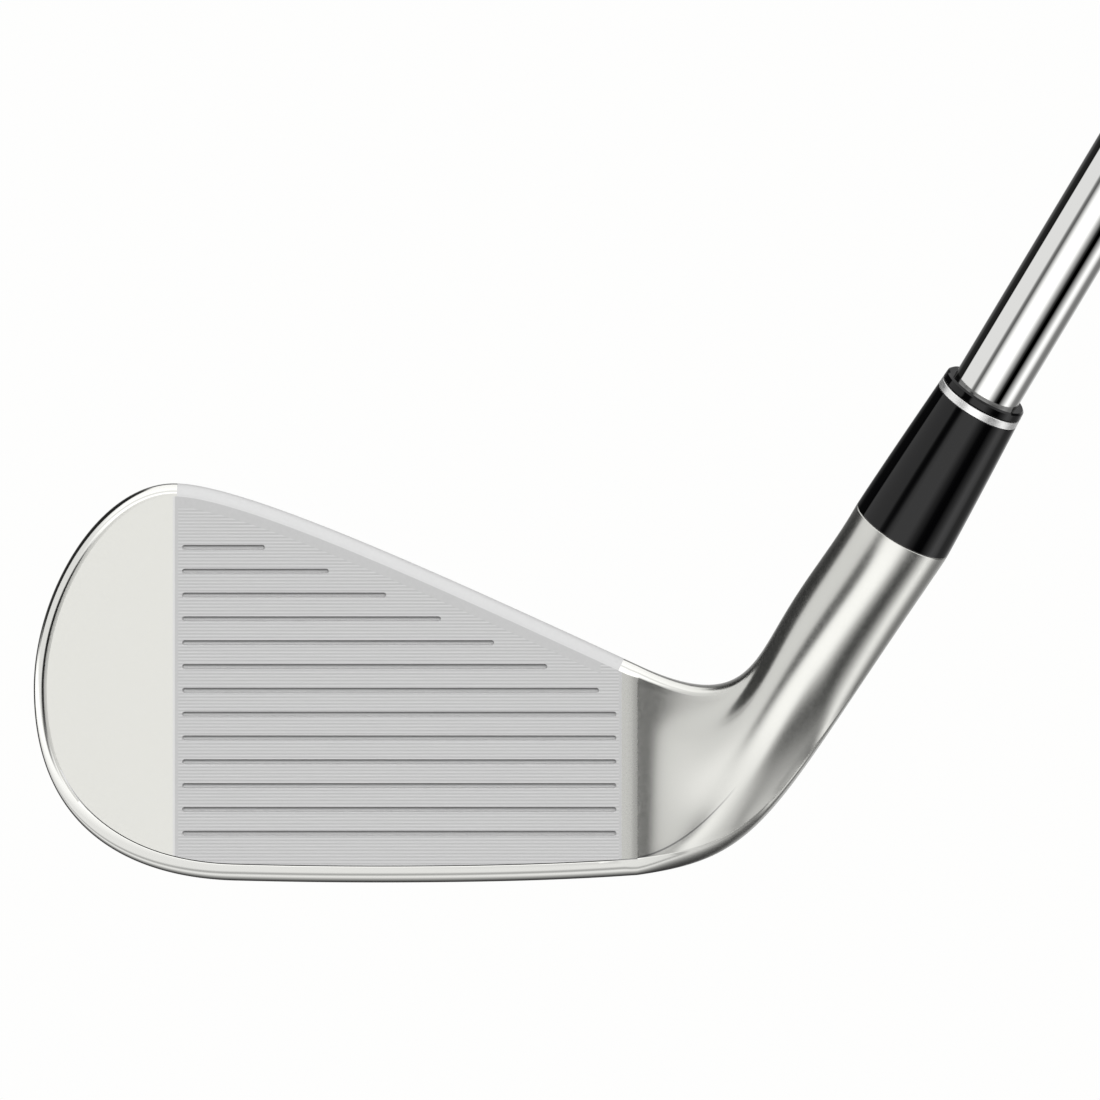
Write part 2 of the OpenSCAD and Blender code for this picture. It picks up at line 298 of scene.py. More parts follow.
def seam_line_painted_shade():
    """Engraved seam beside the sole's rolled edge, with painted shade in it: dark low down, fading out up
    the toe into its satin.
    """
    n = Nodes("engraved_seam_painted_shade")
    _, _, v = n.face_uv()
    lost = n.mapped(v, 4, 13, 0.0, 1.0)
    # Painted shade: dark grey in the seam low on the blade, paler higher up.
    n.set(Base_Color=n.mix(lost, grey(0.2), grey(0.6)), Metallic=1.0, Roughness=0.35)
    return n.material


def blasted_bevel():
    """Pale matte edge over the milled part of the face."""
    n = Nodes("blasted_bevel")
    grain = n.noise(n.place(), 2200, 3)
    n.set(Base_Color=n.mix(grain, grey(0.62), grey(0.66)), Metallic=0.75, Roughness=0.62)
    n.set(Normal=n.bump(grain, 0.00001, 0.35))
    return n.material


def smooth_face():
    """Fine satin of the toe part of the face."""
    n = Nodes("satin_face")
    grain = n.noise(n.place(), 3000, 3)
    n.set(Base_Color=grey(0.55, 0.055), Metallic=1.0)
    n.rough(grain, 0.3, 0.36)
    n.set(Normal=n.bump(grain, 0.000002, 0.2))
    return n.material


def heel_strip():
    """Ground strip between the milling and the neck."""
    n = Nodes("ground_heel")
    grain = n.noise(n.place(), 3000, 3)
    n.set(Base_Color=grey(0.37, 0.05), Metallic=1.0)
    n.rough(grain, 0.24, 0.3)
    return n.material


MILL_PITCH = 0.444


def milled_face():
    """Face-milled steel: fine level ridges across the scored part."""
    n = Nodes("milled_face")
    uv, _, v = n.face_uv()
    stretched = n.add("ShaderNodeMapping", {"Vector": uv, "Scale": (0.05, 1.2, 1)}).outputs[0]
    wander = n.mapped(n.noise(stretched, 1.0, 2), 0, 1, -0.35, 0.35)
    phase = n.math("ADD", n.math("MULTIPLY", v, 2 * math.pi / MILL_PITCH), wander)
    ridge = n.mapped(n.math("SINE", phase), -1, 1, 0, 1)
    patches = n.add("ShaderNodeMapping", {"Vector": uv, "Scale": (0.13, 2.2, 1)}).outputs[0]
    strength = n.mapped(n.noise(patches, 1.0, 3), 0.3, 0.7, 0.45, 1.0)
    lines = n.math("MULTIPLY", n.math("SUBTRACT", ridge, 0.5), strength)
    shade = n.mapped(lines, -0.5, 0.5, 0.0, 1.0)
    n.set(Base_Color=n.mix(shade, grey(0.40), grey(0.54)), Metallic=0.85, Roughness=0.48)
    n.set(Normal=n.bump(ridge, 0.00004, 0.35))
    return n.material


def plain_milled():
    """Unridged strips round the milled part."""
    n = Nodes("milled_plain")
    grain = n.noise(n.place(), 2400, 3)
    n.set(Base_Color=n.mix(grain, grey(0.44), grey(0.48)), Metallic=0.85, Roughness=0.48)
    n.set(Normal=n.bump(grain, 0.000008, 0.3))
    return n.material


def bevel_highlight_line():
    """Painted highlight: a bright line where the milling starts, in place of the light off its tiny bevel.
    """
    n = Nodes("painted_bevel_highlight")
    n.set(Base_Color=grey(0.55, 0.01), Metallic=0.8, Roughness=0.4)
    return n.material


def groove_steel_painted_shade():
    """Inside of the score lines: dull, with painted shade darkest under the upper edge and painted light
    towards the lower edge.
    """
    n = Nodes("groove_steel_painted_shade")
    _, _, v = n.face_uv()
    row = n.math("SUBTRACT", v, GROOVE_LOW_V - GROOVE_PITCH / 2)
    within = n.math("MODULO", row, GROOVE_PITCH)
    up = n.math("SUBTRACT", within, GROOVE_PITCH / 2)
    # Painted shade and light: the colour runs from dark under the groove's upper edge to pale at its lower
    # edge.
    shade = n.mapped(up, GROOVE_WIDTH / 2, -GROOVE_WIDTH / 2, 0.0, 1.0)
    n.set(Base_Color=n.mix(shade, grey(0.12), grey(0.80)), Metallic=0.5, Roughness=0.6)
    return n.material


def mirror_chrome():
    """Bright chrome of the shaft."""
    n = Nodes("mirror_chrome")
    haze = n.noise(n.place((1, 1, 0.2)), 500, 3)
    n.set(Base_Color=grey(0.76, 0.02), Metallic=1.0)
    n.set(Roughness=n.mapped(haze, 0.35, 0.8, 0.015, 0.04))
    return n.material


def ring_metal():
    n = Nodes("ring_metal")
    haze = n.noise(n.place(), 1500, 2)
    n.set(Base_Color=grey(0.82, 0.01), Metallic=0.85)
    n.rough(haze, 0.3, 0.4)
    return n.material


def ferrule_black():
    n = Nodes("ferrule_black")
    haze = n.noise(n.place(), 700, 3)
    n.set(Base_Color=(0.0012, 0.0012, 0.0014, 1), IOR=1.39)
    n.rough(haze, 0.04, 0.07)
    return n.material


def rubber(name, level=0.012):
    n = Nodes(name)
    grain = n.noise(n.place(), 1800, 4)
    dust = n.noise(n.place(), 90, 3)
    n.set(Base_Color=n.mix(dust, grey(level), grey(level * 1.7)))
    n.rough(grain, 0.55, 0.75)
    n.set(Normal=n.bump(grain, 0.00006, 0.5))
    return n.material


def badge_metal():
    """Dark anodised aluminium, brushed along the face."""
    n = Nodes("badge_metal")
    brushed = n.noise(n.place((0.03, 1, 1)), 2400, 4)
    n.set(Base_Color=n.mix(brushed, grey(0.10), grey(0.17)), Metallic=0.9)
    n.rough(brushed, 0.28, 0.42)
    n.set(Normal=n.bump(brushed, 0.00001, 0.3))
    return n.material


def label_film():
    n = Nodes("label_film")
    grain = n.noise(n.place(), 900, 3)
    n.set(Base_Color=n.mix(grain, (0.012, 0.015, 0.02, 1), (0.016, 0.02, 0.028, 1)))
    n.rough(grain, 0.18, 0.26)
    return n.material


def plain_finish(name, colour, roughness, metallic=0.0):
    n = Nodes(name)
    grain = n.noise(n.place(), 1200, 3)
    n.set(Base_Color=colour, Metallic=metallic)
    n.rough(grain, roughness * 0.85, roughness * 1.15)
    return n.material


# ------------------------ blade outline
TOE_SATIN_ROWS = 4
TOE_X = -48.75
TOE_V = 26.0
CROWN_X = -30.0
CROWN_V = 53.3
SOLE_X = -22.0
TOPLINE_END = Vector((29.7, 30.05))
TOPLINE_SLOPE = -0.46
HEEL_X = 31.8
ZONE_TOE_X = -29.9
ZONE_HEEL_X = 29.7
HEEL_LIFT = 0.27
RIM_TOP = 1.75
RIM_SOLE = 2.3
TOPLINE_DEPTH = 6.0
MIDDLE_DEPTH = 10.5
SOLE_DEPTH = 20.5
TAPER_X = -16.0
CONTACT_DEPTH = 9.5
CAMBER = 0.0215
BACK_ROLL = 1.8
SEAM = 0.2
SEAM_ROWS = 2
EDGE_ROWS = 16
PLATE = 2.5
CAVITY_V = 17.0
CAVITY_HEEL_X = 25.0
CAVITY_WALL = 4.2
CAVITY_CORNER = 3.0


def sole_v(x):
    """Nearly level along the middle, curling up towards the heel."""
    return 0.00068 * (x + 2.3) ** 2 + 0.125 * max(0.0, (x - 8) / 20) ** 3


def topline_v(x):
    return TOPLINE_END.y + TOPLINE_SLOPE * (x - TOPLINE_END.x)


TOE_LOW = [(SOLE_X, sole_v(SOLE_X)), (SOLE_X - 13.9, 0.65), (TOE_X, TOE_V - 19), (TOE_X, TOE_V)]
TOE_HIGH = [(TOE_X, TOE_V), (TOE_X, TOE_V + 12.4), (CROWN_X - 10.3, CROWN_V), (CROWN_X, CROWN_V)]
TOPLINE = [(CROWN_X, CROWN_V), (CROWN_X + 9.2, CROWN_V),
           (TOPLINE_END.x - 24.5, topline_v(TOPLINE_END.x - 24.5)), tuple(TOPLINE_END)]


def blade_outline(count):
    """Lower heel, sole, toe, topline, upper heel, in equal steps."""
    line = [Vector((x, sole_v(x))) for x in (lerp(HEEL_X, SOLE_X, i / 60) for i in range(61))]
    for curve in (TOE_LOW, TOE_HIGH, TOPLINE):
        line += [bezier(curve, i / 120) for i in range(1, 121)]
    line.append(Vector((HEEL_X, topline_v(HEEL_X))))
    return resample(line, count)


def inward(line):
    """Unit normals pointing into the blade."""
    normals = []
    for i in range(len(line)):
        a = line[max(0, i - 1)]
        b = line[min(len(line) - 1, i + 1)]
        d = (b - a).normalized()
        normals.append(Vector((d.y, -d.x)))
    return normals


def rim_width(v):
    return lerp(RIM_SOLE, RIM_TOP, smooth((v - 3) / 14))


def crease_angle(v):
    """Angle at which the rolled edge leaves the flat face: crisp at the sole, soft at the toe."""
    return math.radians(lerp(16, 3, smooth((v - 3) / 14)))


def sole_depth_at(x):
    if x > TAPER_X:
        return SOLE_DEPTH
    share = (TAPER_X - x) / (TAPER_X - TOE_X)
    return lerp(MIDDLE_DEPTH, SOLE_DEPTH, math.sqrt(max(0.0, 1 - share * share)))


def back_depth(x, v):
    upper = lerp(MIDDLE_DEPTH, TOPLINE_DEPTH, smooth((v - 20) / 26))
    return lerp(sole_depth_at(x), upper, smooth((v - 9) / 14))


def heel_lift(x):
    """The face curves forward a little over the heel strip, before the neck's crease."""
    into = max(0.0, x - ZONE_HEEL_X)
    return HEEL_LIFT * into * into / (HEEL_X - ZONE_HEEL_X) ** 2


def sheared(x, v, w):
    """The sole runs level with the ground; that slant fades out up the face."""
    share = 1 - smooth(v / 30)
    d = -w
    w += heel_lift(x)
    camber = CAMBER * ((d - CONTACT_DEPTH) ** 2 - (RIM_SOLE - CONTACT_DEPTH) ** 2) / math.cos(LOFT)
    lift = (d - RIM_SOLE) * math.tan(LOFT) + camber
    return Vector((x, v + share * lift if d > 0 else v, w))


# ------------------------ cavity outline
def cavity_outline(inset=0.0):
    """Closed outline of the back cavity: follows toe and topline, level floor, upright heel side."""
    line = blade_outline(400)
    inner = [p + (CAVITY_WALL + inset) * n for p, n in zip(line, inward(line))]
    floor_v = CAVITY_V + inset
    heel_x = CAVITY_HEEL_X - inset
    kept = [p for p in inner if p.y > floor_v and p.x < heel_x]
    corner_low = Vector((heel_x, floor_v))
    corner_high = Vector((heel_x, kept[-1].y))
    corner_toe = Vector((kept[0].x, floor_v))
    radius = max(0.6, CAVITY_CORNER - inset)
    loop = round_corner(kept[-4], corner_high, corner_low, radius)
    loop += round_corner(corner_high, corner_low, corner_toe, radius)
    loop += round_corner(corner_low, corner_toe, kept[4], radius)
    clear = radius * 1.4
    loop += [p for p in kept if min((p - corner_toe).length, (p - corner_high).length) > clear]
    return loop


def round_corner(before, corner, after, radius):
    a = (before - corner).normalized()
    b = (after - corner).normalized()
    half = a.angle(b) / 2
    reach = radius / math.tan(half)
    return [bezier([corner + a * reach, corner, corner + b * reach], i / 8) for i in range(9)]


# Middle of the cavity, and the number of points round a sheet in it.
CENTRE = Vector((-5.0, 27.0))
LAYER_STEPS = 160


def ray_hit(loop, p):
    """Where the line from the cavity's middle to p crosses a closed outline."""
    for a, b in zip(loop, loop[1:] + loop[:1]):
        hit = geometry.intersect_line_line_2d(CENTRE, CENTRE + (p - CENTRE) * 3, a, b)
        if hit:
            return hit
    raise ValueError("the ray misses the outline")


# ------------------------ head
BLADE_STEPS = 300
HEEL_STEPS = 28
FRONT_ROWS = 14
WALL_ROWS = 7
ROLL_ROWS = 8
BACK_ROWS = 18
NECK_ROWS = 60
HOSEL_R = 6.95
HOSEL_TOP = 57.6
NECK_END = 57.0
HOSEL_CHAMFER = 0.15
BORE_R = 4.8
BORE_BOTTOM = 30.5
EDGE_ROUND = 0.5
EDGE_ROUND_ROWS = 5
CAVITY_LEAN = 0.3
CAVITY_WALL_ROWS = 6
# Material slots of the head, in the order in which it gets its materials.
HEAD_SATIN, HEAD_POLISHED, HEAD_BLASTED, HEAD_TOE, HEAD_NECK_SEAM_SHADE, HEAD_SEAM_SHADE = range(6)

outline = blade_outline(BLADE_STEPS)
normals = inward(outline)
normals[0] = Vector((0, 1))
normals[-1] = Vector((0, -1))


def roll_rows(p, normal):
    """The rolled front edge, from the crease on the flat face to the outline."""
    start = crease_angle(p.y)
    width = rim_width(p.y)
    radius = width / (1 - math.sin(start))
    rows = []
    for i in range(FRONT_ROWS + 1):
        a = lerp(start, math.pi / 2, i / FRONT_ROWS)
        q = p + normal * radius * (1 - math.sin(a))
        rows.append((q, -radius * (math.cos(start) - math.cos(a))))
    # A fine engraved seam runs just outside the crease; it fades out up the toe and at the neck.
    seam = SEAM * (1 - smooth((p.y - 3) / 14)) * (1 - smooth((p.x - 26) / 5))
    crease = rows[0][0]
    rows.insert(1, (crease - normal * SEAM * 0.5, -0.02 - seam))
    rows.insert(2, (crease - normal * SEAM, -0.04 - seam * 0.25))
    return rows


def crease_line():
    """Where the flat face meets its rolled edge, from lower heel round to upper heel."""
    return [roll_rows(p, n)[0][0] for p, n in zip(outline, normals)]


def plate_border():
    """Closed border of the face plate: the crease and the upright line at the heel."""
    crease = crease_line()
    heights = [lerp(crease[0].y, crease[-1].y, i / HEEL_STEPS) for i in range(HEEL_STEPS - 1, 0, -1)]
    return crease + [Vector((HEEL_X, v)) for v in heights]


def edge_rows(p, normal):
    """From the crease over the rolled edge and the wall to the start of the back face."""
    rows = roll_rows(p, normal)
    top = rows[-1][1]
    q = p + normal * BACK_ROLL
    depth = back_depth(q.x, q.y)
    for i in range(1, WALL_ROWS + 1):
        rows.append((p, lerp(top, -(depth - BACK_ROLL), i / WALL_ROWS)))
    for i in range(1, ROLL_ROWS + 1):
        a = math.pi / 2 * i / ROLL_ROWS
        q = p + normal * BACK_ROLL * (1 - math.cos(a))
        rows.append((q, -(depth - BACK_ROLL) - BACK_ROLL * math.sin(a)))
    return rows


def add_rim(shell):
    """Rolled edge and wall round the blade: columns along the outline, rows across the edge."""
    columns = []
    for p, normal in zip(outline, normals):
        columns.append([shell.head_vertex(q.x, q.y, w) for q, w in edge_rows(p, normal)])
    rows = list(zip(*columns))
    for i in range(len(rows) - 1):
        shell.strip(rows[i], rows[i + 1], lambda k, i=i: edge_slot(k, i))
    return columns


def heel_line(shell, low, high, depth_at):
    """Upright line of vertices where the blade ends, between its lower and its upper edge."""
    heights = [lerp(low, high, i / HEEL_STEPS) for i in range(1, HEEL_STEPS)]
    return [shell.head_vertex(HEEL_X, v, -depth_at(v)) for v in heights]


def add_back(shell, outer, ring):
    """Back face, from its outer edge inwards to the cavity, with the cavity's rounded edge."""
    cavity = cavity_outline()
    inner = [ray_hit(cavity, p) for p in outer]
    round_start = [q - (CENTRE - q).normalized() * EDGE_ROUND for q in inner]
    soft = set(ring)
    for i in range(1, BACK_ROWS + 1):
        row = []
        for a, b in zip(outer, round_start):
            q = a.lerp(b, i / BACK_ROWS)
            row.append(shell.head_vertex(q.x, q.y, -back_depth(q.x, q.y)))
        shell.strip(ring, row, 0, closed=True)
        soft.update(row)
        ring = row
    for i in range(1, EDGE_ROUND_ROWS + 1):
        a = math.pi / 2 * i / EDGE_ROUND_ROWS
        row = []
        for q in inner:
            r = q - (CENTRE - q).normalized() * EDGE_ROUND * (1 - math.sin(a))
            w = -back_depth(r.x, r.y) + EDGE_ROUND * (1 - math.cos(a))
            row.append(shell.head_vertex(r.x, r.y, w))
        shell.strip(ring, row, 0, closed=True)
        soft.update(row)
        ring = row
    return inner, ring, soft


def add_cavity_wall(shell, inner, ring):
    """Wall from the cavity's edge down to the plate; it leans in a little."""
    for i in range(1, CAVITY_WALL_ROWS + 1):
        share = i / CAVITY_WALL_ROWS
        row = []
        for q in inner:
            w = -back_depth(q.x, q.y) + EDGE_ROUND
            lean = (CENTRE - q).normalized() * CAVITY_LEAN * share
            # The wall is swept level, so the sole's slant is undone towards the plate.
            v = lerp(sheared(q.x, q.y, w).y, q.y, share)
            wall = sheared(q.x, q.y, lerp(w, -PLATE, share))
            row.append(shell.add(face_point(q.x + lean.x, v + lean.y, wall.z)))
        shell.strip(ring, row, 0, closed=True)
        ring = row
    return ring


def add_recess(shell, ring, rim_front, front_line):
    """Ledge under the face plate and the side of the recess that the plate sits in."""
    border = plate_border()
    row = [shell.add(face_point(p.x, p.y, -PLATE)) for p in border]
    shell.strip(ring, row, 0, closed=True)
    shell.strip(row, rim_front + front_line[::-1], 0, closed=True)


def add_neck(shell, loop, angles):
    """The blade's end loop runs on curves into the round hosel."""
    tracks = [neck_track(to_face(shell.points[i]), a) for i, a in zip(loop, angles)]
    ring = loop
    for i in range(1, NECK_ROWS + 1):
        row = [shell.add(face_point(*track[i])) for track in tracks]
        shell.strip(ring, row, neck_slot, closed=True)
        ring = row
    return ring


def add_hosel_top(shell, ring, angles):
    """Small chamfer, annulus and bore."""
    for t, r in ((HOSEL_TOP - HOSEL_CHAMFER, HOSEL_R), (HOSEL_TOP, HOSEL_R - HOSEL_CHAMFER),
                 (HOSEL_TOP, BORE_R), (HOSEL_TOP - 3, BORE_R), (BORE_BOTTOM, BORE_R)):
        row = [shell.add(shaft_point(t, r, a)) for a in angles]
        shell.strip(ring, row, 0, closed=True)
        ring = row
    shell.cap(ring)


def head_mesh(materials):
    shell = Shell()
    columns = add_rim(shell)
    rim_front = [column[0] for column in columns]
    rim_rear = [column[-1] for column in columns]
    crease = crease_line()
    front_inner = heel_line(shell, crease[0].y, crease[-1].y, lambda v: 0)
    back_low = outline[0].y + BACK_ROLL
    back_high = outline[-1].y - BACK_ROLL
    back_inner = heel_line(shell, back_low, back_high, lambda v: back_depth(HEEL_X, v))

    outer = [p + n * BACK_ROLL for p, n in zip(outline, normals)]
    heights = [lerp(back_low, back_high, i / HEEL_STEPS) for i in range(HEEL_STEPS - 1, 0, -1)]
    outer += [Vector((HEEL_X, v)) for v in heights]
    inner, ring, soft = add_back(shell, outer, rim_rear + back_inner[::-1])
    ring = add_cavity_wall(shell, inner, ring)
    add_recess(shell, ring, rim_front, front_inner)

    front_line = [rim_front[0]] + front_inner + [rim_front[-1]]
    back_line = [rim_rear[0]] + back_inner + [rim_rear[-1]]
    loop = front_line + columns[-1][1:-1] + back_line[::-1] + columns[0][-2:0:-1]
    angles = loop_angles(len(front_line), len(columns[0]) - 2, len(back_line))
    add_hosel_top(shell, add_neck(shell, loop, angles), angles)

    piece = make_mesh("head_body_metal", shell, materials, sharp=17)
    # The back is cast: no crisp edges from its outer edge to the cavity.
    for edge in piece.data.edges:
        if soft.issuperset(edge.vertices):
            edge.use_edge_sharp = False
    return piece


def edge_slot(k, i):
    """Material of the rolled edge: polished, but blasted over the milled zone's topline."""
    if i >= EDGE_ROWS + WALL_ROWS:
        return HEAD_SATIN
    p = outline[k]
    # The seam's groove rows low on the blade carry its painted shade.
    if i < SEAM_ROWS and p.y < 14:
        return HEAD_SEAM_SHADE
    if i < EDGE_ROWS and p.y > 25 and ZONE_TOE_X < p.x < ZONE_HEEL_X:
        return HEAD_BLASTED
    if p.x < ZONE_TOE_X and i < TOE_SATIN_ROWS * smooth((p.y - 4) / 8):
        return HEAD_TOE
    return HEAD_POLISHED


def neck_slot(k):
    """The rolled edge keeps its own material along the neck, and the front carries the seam's line of
    painted shade.
    """
    if k < HEEL_STEPS:
        return HEAD_NECK_SEAM_SHADE
    side = EDGE_ROWS + WALL_ROWS
    last = 2 * (HEEL_STEPS + EDGE_ROWS + WALL_ROWS + ROLL_ROWS)
    high = HEEL_STEPS <= k < HEEL_STEPS + side
    low = k >= last - side
    return HEAD_POLISHED if high or low else HEAD_SATIN


# Where the blade's four edges end round the hosel, in degrees from its front towards the lower side.
FRONT_LOW = 78
FRONT_HIGH = -78
BACK_HIGH = -102
BACK_LOW = -258


def loop_angles(front, side, back):
    """Angles round the hosel that match the blade's end loop, from the lower side over the front."""
    turns = [(FRONT_LOW, FRONT_HIGH, front), (FRONT_HIGH, BACK_HIGH, side + 2), (BACK_HIGH, BACK_LOW, back),
             (BACK_LOW, FRONT_LOW - 360, side + 2)]
    degrees = []
    for a, b, count in turns:
        steps = [lerp(a, b, i / (count - 1)) for i in range(count)]
        degrees += steps if count in (front, back) else steps[1:-1]
    return [math.radians(a) for a in degrees]


# Curves of the neck's lower and upper side: how far they run on from the blade and at what slope,
# their middle, how far below the hosel's top they are straight, and the blend out of the crease.
NECK_LOW = {"reach": 19.3, "slope": 0.14, "middle": Vector((48.7, 9.1)),
            "enter": 8.0, "blend": 3.8, "steep": 0.24}
NECK_HIGH = {"reach": 21.7, "slope": -0.47, "middle": Vector((46.5, 35.4)),
             "enter": 14.8, "blend": 8.3, "steep": 0.30}
# What the curves half-way between those two have less.
NECK_BOW = {"reach": 5.0, "middle": Vector((2.0, 2.1)), "enter": 3.9}
NECK_RISE = math.tan(math.radians(17.5))
NECK_WAIST = 0.956
ROLL_OFF = 0.13
ROLL_OFF_WIDTH = 4.5
CORNER_STRETCH = 1.35


def seam_v(x):
    """Height of the neck's seam at X."""
    along = x - HEEL_X
    return SEAM_START + (SEAM_SLOPE + SEAM_BEND * along) * along


def roll_off(p):
    """How far the neck falls back outside its seam, turning into the sole's rolled edge."""
    slope = SEAM_SLOPE + 2 * SEAM_BEND * (p.x - HEEL_X)
    beyond = (seam_v(p.x) - p.y) / math.hypot(1, slope)
    beyond = min(ROLL_OFF_WIDTH, max(0.0, beyond))
    share = smooth((p.x - HEEL_X) / 5) * (1 - smooth((p.x - 46) / 12))
    return ROLL_OFF * beyond * beyond * share


def neck_value(name, up):
    """A value of the neck's curves between its lower and its upper side."""
    value = lerp(NECK_LOW[name], NECK_HIGH[name], up)
    if name in NECK_BOW:
        value = value - NECK_BOW[name] * 4 * up * (1 - up)
    return value


def neck_track(start, angle):
    """Points of one curve from the blade's end loop to the hosel."""
    up = smooth((start.y - 1) / 28)
    facing = max(0.0, math.cos(angle))
    front = 1 - smooth((heel_lift(HEEL_X) - start.z) / 4)
    blend = neck_value("blend", up)
    # The front also swells out of the crease; swell is what that adds in the end.
    swell = neck_value("steep", up) * front * blend * math.e ** 2 / 4
    # Under the inner corner it does so over a longer way.
    blend *= lerp(1, CORNER_STRETCH, smooth((start.y - 20) / 6))
    heading = Vector((1, neck_value("slope", up), 0)).normalized()
    first = start + neck_value("reach", up) * (heading + Vector((0, 0, NECK_RISE * front)))
    end = to_face(shaft_point(NECK_END, HOSEL_R, angle))
    along = to_face(SHAFT + FACE_FOOT)
    last = to_face(shaft_point(NECK_END, HOSEL_R * NECK_WAIST, angle)) - neck_value("enter", up) * along
    last.z -= swell
    share = 0.4 + 0.35 * facing + 0.17 * (up - 0.5)
    middle = neck_value("middle", up)
    curve = [start, first, Vector((middle.x, middle.y, lerp(first.z, last.z, share))), last,
             end - Vector((0, 0, swell))]
    points = [start]
    run = 0.0
    before = start
    for i in range(1, NECK_ROWS + 1):
        p = bezier(curve, (i / NECK_ROWS) ** 1.35)
        run += (p.xy - before.xy).length
        before = p
        x = 2 * run / blend
        rise = swell * (1 - (1 + x + x * x / 2) * math.exp(-x)) - front * roll_off(p)
        points.append(p + Vector((0, 0, rise)))
    return points


# ------------------------ face plate
GROOVE_COUNT = 13
GROOVE_LOW_V = 6.6
GROOVE_PITCH = 3.177
GROOVE_WIDTH = 0.72
GROOVE_DEPTH = 0.4
GROOVE_START = -28.95
GROOVE_END = 29.0
GROOVE_MARGIN = 5.75
# Widths of the painted highlight line and of the unmilled strips beside the milled zone.
HIGHLIGHT_LINE_WIDTH = 0.28
PLAIN_TOE = 0.45
PLAIN_HEEL = 0.4
MILLING_MARGIN = 3.1
# Material slots of the plate, in the order in which it gets its materials.
PLATE_TOE, PLATE_MILLED, PLATE_PLAIN, PLATE_HIGHLIGHT_LINE, PLATE_GROOVE, PLATE_HEEL = range(6)


def groove_rows():
    """Middle height and end of each score line; the upper ones stop short of the topline."""
    samples = blade_outline(1200)
    rows = []
    for i in range(GROOVE_COUNT):
        v = GROOVE_LOW_V + i * GROOVE_PITCH
        ends = [p.x for p in samples if p.x > CROWN_X and p.y - v >= GROOVE_MARGIN]
        rows.append((v, min(GROOVE_END, max(ends))))
    return rows


def slot_outline(x0, x1, v, half):
    """Long slot with rounded ends."""
    turns = [math.radians(-90 + 18 * i) for i in range(11)]
    right = [Vector((x1 - half + half * math.cos(a), v + half * math.sin(a))) for a in turns]
    left = [Vector((x0 + half - half * math.cos(a), v - half * math.sin(a))) for a in turns]
    return right + left


def upright_lines(crease):
    """End points of the lines across the face where its finish or its curve changes."""
    strip_lines = [lerp(ZONE_HEEL_X, HEEL_X, i / 4) for i in range(4)]
    lines = []
    for x in (ZONE_TOE_X - 0.8, ZONE_TOE_X - HIGHLIGHT_LINE_WIDTH, ZONE_TOE_X, ZONE_TOE_X + PLAIN_TOE,
              ZONE_HEEL_X - PLAIN_HEEL, *strip_lines):
        near = [p.y for p in crease if abs(p.x - x) < 0.6]
        lines.append([Vector((x, min(near) - 3)), Vector((x, max(near) + 3))])
    return lines


def milling_end():
    """The milling stops along a line parallel to the topline."""
    line = [p + n * MILLING_MARGIN for p, n in zip(outline, normals) if p.y > 25]
    return [p for p in line if ZONE_TOE_X - 1 < p.x < ZONE_HEEL_X + 1][::6]


def add_flat_face(shell, border, loops):
    """Flat top: constrained triangles round the score lines, split where the finish changes."""
    milling = milling_end()
    flat = []
    edges = []

    def constrain(line, closed=False):
        first = len(flat)
        flat.extend(line)
        edges.extend((first + i, first + i + 1) for i in range(len(line) - 1))
        if closed:
            edges.append((first + len(line) - 1, first))

    for loop in [border] + loops:
        constrain(loop, closed=True)
    for line in upright_lines(crease_line()):
        constrain(line)
    constrain(milling)
    verts, _, tris, _, _, _ = geometry.delaunay_2d_cdt(flat, edges, [], 0, 1e-5)
    for p in verts:
        shell.add(face_point(p.x, p.y, heel_lift(p.x)))
    for tri in tris:
        middle = (verts[tri[0]] + verts[tri[1]] + verts[tri[2]]) / 3
        if inside(middle, border) and not any(inside(middle, loop) for loop in loops):
            shell.faces.append(tuple(tri))
            shell.slots.append(face_slot(middle, milling))


def add_score_line(shell, v, end):
    """Sloping sides and a narrow flat floor; each step is a share of the half width and a depth."""
    ring = None
    for share, depth in ((1, 0), (0.82, 0.1), (0.6, 0.28), (0.42, 0.38), (0.25, GROOVE_DEPTH)):
        half = GROOVE_WIDTH / 2 * share
        shift = GROOVE_WIDTH / 2 - half
        line = slot_outline(GROOVE_START + shift, end - shift, v, half)
        row = [shell.add(face_point(p.x, p.y, -depth)) for p in line]
        if ring:
            shell.strip(ring, row, PLATE_GROOVE, closed=True)
        ring = row
    shell.faces.append(tuple(ring))
    shell.slots.append(PLATE_GROOVE)


def face_plate_mesh(materials):
    shell = Shell()
    border = plate_border()
    rows = groove_rows()
    loops = [slot_outline(GROOVE_START, end, v, GROOVE_WIDTH / 2) for v, end in rows]
    add_flat_face(shell, border, loops)
    for v, end in rows:
        add_score_line(shell, v, end)
    # Side and back of the plate.
    top = [shell.add(face_point(p.x, p.y, heel_lift(p.x))) for p in border]
    bottom = [shell.add(face_point(p.x, p.y, -PLATE)) for p in border]
    shell.strip(top, bottom, 0, closed=True)
    shell.faces.append(tuple(bottom))
    shell.slots.append(0)
    return make_mesh("face_plate_steel", shell, materials, sharp=25, closed=False)


def inside(p, loop):
    """Even-odd test."""
    odd = False
    for a, b in zip(loop, loop[1:] + loop[:1]):
        if (a.y > p.y) != (b.y > p.y) and p.x < (b.x - a.x) * (p.y - a.y) / (b.y - a.y) + a.x:
            odd = not odd
    return odd


